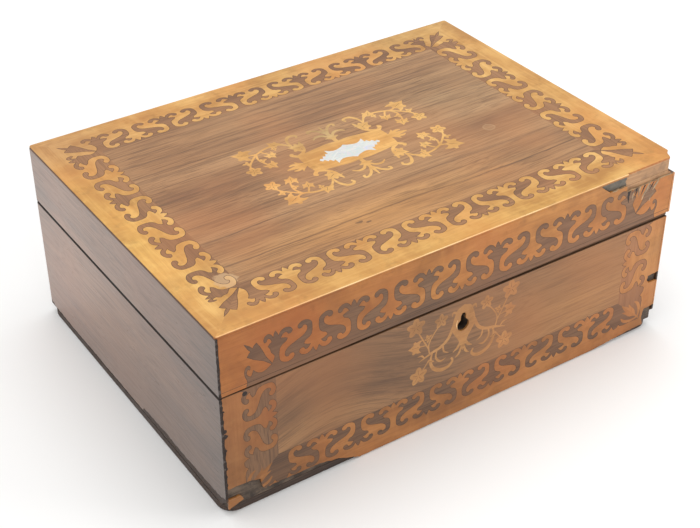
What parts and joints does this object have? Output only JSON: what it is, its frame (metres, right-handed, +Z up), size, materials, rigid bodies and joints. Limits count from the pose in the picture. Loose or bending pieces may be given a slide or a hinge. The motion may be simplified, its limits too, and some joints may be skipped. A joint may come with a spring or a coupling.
{
  "type": "work box",
  "caption": "Hollow rectangular veneered wooden work box with a lift-off lid, scroll marquetry borders, a mother-of-pearl plaque in the top and a keyhole in the front.",
  "frame": {"origin": "middle of the underside, on the surface that the box stands on", "axes": "+X along the front from left to right, +Y from the front to the back, +Z up"},
  "size_m": [0.3, 0.2196, 0.1189],
  "materials": {
    "rosewood": "old polish, worn satin",
    "satinwood": "old polish, worn satin",
    "carcass_wood": "bare, dusty",
    "dark_edge": "stained dark, dull",
    "pearl": "polished mother-of-pearl"
  },
  "bodies": {
    "root": {"base_bottom_board": "dark_edge", "base_front_board": "carcass_wood", "base_back_board": "carcass_wood", "base_left_board": "carcass_wood", "base_right_board": "carcass_wood", "base_front_veneer": "satinwood", "base_front_veneer_remnant": "satinwood", "base_left_veneer": "rosewood", "base_right_veneer": "rosewood", "base_back_veneer": "rosewood", "lid_top_board": "carcass_wood", "lid_front_rail": "carcass_wood", "lid_back_rail": "carcass_wood", "lid_left_rail": "carcass_wood", "lid_right_rail": "carcass_wood", "lid_top_veneer": "satinwood", "lid_front_veneer": "satinwood", "lid_left_veneer": "rosewood", "lid_right_veneer": "rosewood", "lid_back_veneer": "rosewood", "lid_front_slip": "dark_edge", "pearl_plaque": "pearl"}
  },
  "joints": []
}
